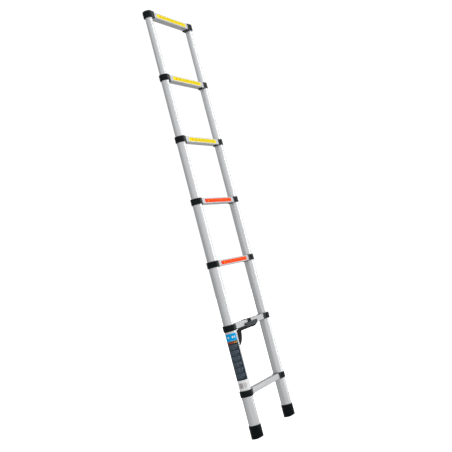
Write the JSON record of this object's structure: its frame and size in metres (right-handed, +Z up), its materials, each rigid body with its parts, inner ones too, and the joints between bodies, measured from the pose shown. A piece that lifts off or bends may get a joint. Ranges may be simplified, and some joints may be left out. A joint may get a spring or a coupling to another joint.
{
  "type": "telescoping ladder",
  "caption": "Extended telescoping ladder: nested round aluminium stiles, hollow rungs in black locking collars, thumb buttons, feet, top caps and a carrying strap.",
  "frame": {"origin": "on the floor, midway between the two feet, under the middle of the stiles", "axes": "+Z up along the stiles, +X along the rungs, -Y the front with the stickers"},
  "size_m": [0.4694, 0.0594, 2.0035],
  "materials": {
    "stile_aluminium": "satin anodised",
    "rung_aluminium": "satin anodised, ribbed tread",
    "collar_plastic": "moulded, fine texture",
    "foot_rubber": "matt",
    "guide_plastic": "natural nylon",
    "pin_steel": "zinc plated",
    "button_plastic": "ribbed",
    "spring_steel": "drawn wire",
    "strap_webbing": "woven hook and loop"
  },
  "bodies": {
    "base": {"foot_left": "foot_rubber", "foot_right": "foot_rubber", "bottom_tube_left": "stile_aluminium", "bottom_tube_right": "stile_aluminium", "bottom_collars": "collar_plastic", "bottom_rung": "rung_aluminium", "second_collars": "collar_plastic", "second_rung": "rung_aluminium", "second_lock_springs": "spring_steel", "carrying_strap": "strap_webbing"},
    "second_section": {"second_tube_left": "stile_aluminium", "second_tube_right": "stile_aluminium", "second_guide_plugs": "guide_plastic", "third_collars": "collar_plastic", "third_rung": "rung_aluminium", "third_lock_springs": "spring_steel"},
    "third_section": {"third_tube_left": "stile_aluminium", "third_tube_right": "stile_aluminium", "third_guide_plugs": "guide_plastic", "fourth_collars": "collar_plastic", "fourth_rung": "rung_aluminium", "fourth_lock_springs": "spring_steel"},
    "fourth_section": {"fourth_tube_left": "stile_aluminium", "fourth_tube_right": "stile_aluminium", "fourth_guide_plugs": "guide_plastic", "fifth_collars": "collar_plastic", "fifth_rung": "rung_aluminium", "fifth_lock_springs": "spring_steel"},
    "fifth_section": {"fifth_tube_left": "stile_aluminium", "fifth_tube_right": "stile_aluminium", "fifth_guide_plugs": "guide_plastic", "sixth_collars": "collar_plastic", "sixth_rung": "rung_aluminium", "sixth_lock_springs": "spring_steel"},
    "sixth_section": {"sixth_tube_left": "stile_aluminium", "sixth_tube_right": "stile_aluminium", "sixth_guide_plugs": "guide_plastic", "top_cap_left": "collar_plastic", "top_cap_right": "collar_plastic", "top_rung": "rung_aluminium"},
    "second_lock_left": {"second_lock_pin_left": "pin_steel", "second_thumb_button_left": "button_plastic"},
    "second_lock_right": {"second_lock_pin_right": "pin_steel", "second_thumb_button_right": "button_plastic"},
    "third_lock_left": {"third_lock_pin_left": "pin_steel", "third_thumb_button_left": "button_plastic"},
    "third_lock_right": {"third_lock_pin_right": "pin_steel", "third_thumb_button_right": "button_plastic"},
    "fourth_lock_left": {"fourth_lock_pin_left": "pin_steel", "fourth_thumb_button_left": "button_plastic"},
    "fourth_lock_right": {"fourth_lock_pin_right": "pin_steel", "fourth_thumb_button_right": "button_plastic"},
    "fifth_lock_left": {"fifth_lock_pin_left": "pin_steel", "fifth_thumb_button_left": "button_plastic"},
    "fifth_lock_right": {"fifth_lock_pin_right": "pin_steel", "fifth_thumb_button_right": "button_plastic"},
    "sixth_lock_left": {"sixth_lock_pin_left": "pin_steel", "sixth_thumb_button_left": "button_plastic"},
    "sixth_lock_right": {"sixth_lock_pin_right": "pin_steel", "sixth_thumb_button_right": "button_plastic"}
  },
  "joints": [
    {"name": "second_section_slide", "type": "slide", "parent": "base", "child": "second_section", "axis": [0, 0, 1], "range_m": [-0.2645, 0]},
    {"name": "third_section_slide", "type": "slide", "parent": "second_section", "child": "third_section", "axis": [0, 0, 1], "range_m": [-0.2645, 0]},
    {"name": "fourth_section_slide", "type": "slide", "parent": "third_section", "child": "fourth_section", "axis": [0, 0, 1], "range_m": [-0.2645, 0]},
    {"name": "fifth_section_slide", "type": "slide", "parent": "fourth_section", "child": "fifth_section", "axis": [0, 0, 1], "range_m": [-0.2645, 0]},
    {"name": "sixth_section_slide", "type": "slide", "parent": "fifth_section", "child": "sixth_section", "axis": [0, 0, 1], "range_m": [-0.272, 0]},
    {"name": "second_lock_left_slide", "type": "slide", "parent": "base", "child": "second_lock_left", "axis": [-1, 0, 0], "range_m": [-0.001, 0.0035], "stiffness_N_per_m": 300, "deforming": ["second_lock_springs"]},
    {"name": "second_lock_right_slide", "type": "slide", "parent": "base", "child": "second_lock_right", "axis": [1, 0, 0], "range_m": [-0.001, 0.0035], "stiffness_N_per_m": 300, "deforming": ["second_lock_springs"]},
    {"name": "third_lock_left_slide", "type": "slide", "parent": "second_section", "child": "third_lock_left", "axis": [-1, 0, 0], "range_m": [-0.001, 0.0035], "stiffness_N_per_m": 300, "deforming": ["third_lock_springs"]},
    {"name": "third_lock_right_slide", "type": "slide", "parent": "second_section", "child": "third_lock_right", "axis": [1, 0, 0], "range_m": [-0.001, 0.0035], "stiffness_N_per_m": 300, "deforming": ["third_lock_springs"]},
    {"name": "fourth_lock_left_slide", "type": "slide", "parent": "third_section", "child": "fourth_lock_left", "axis": [-1, 0, 0], "range_m": [-0.001, 0.0035], "stiffness_N_per_m": 300, "deforming": ["fourth_lock_springs"]},
    {"name": "fourth_lock_right_slide", "type": "slide", "parent": "third_section", "child": "fourth_lock_right", "axis": [1, 0, 0], "range_m": [-0.001, 0.0035], "stiffness_N_per_m": 300, "deforming": ["fourth_lock_springs"]},
    {"name": "fifth_lock_left_slide", "type": "slide", "parent": "fourth_section", "child": "fifth_lock_left", "axis": [-1, 0, 0], "range_m": [-0.001, 0.0035], "stiffness_N_per_m": 300, "deforming": ["fifth_lock_springs"]},
    {"name": "fifth_lock_right_slide", "type": "slide", "parent": "fourth_section", "child": "fifth_lock_right", "axis": [1, 0, 0], "range_m": [-0.001, 0.0035], "stiffness_N_per_m": 300, "deforming": ["fifth_lock_springs"]},
    {"name": "sixth_lock_left_slide", "type": "slide", "parent": "fifth_section", "child": "sixth_lock_left", "axis": [-1, 0, 0], "range_m": [-0.001, 0.0035], "stiffness_N_per_m": 300, "deforming": ["sixth_lock_springs"]},
    {"name": "sixth_lock_right_slide", "type": "slide", "parent": "fifth_section", "child": "sixth_lock_right", "axis": [1, 0, 0], "range_m": [-0.001, 0.0035], "stiffness_N_per_m": 300, "deforming": ["sixth_lock_springs"]}
  ]
}
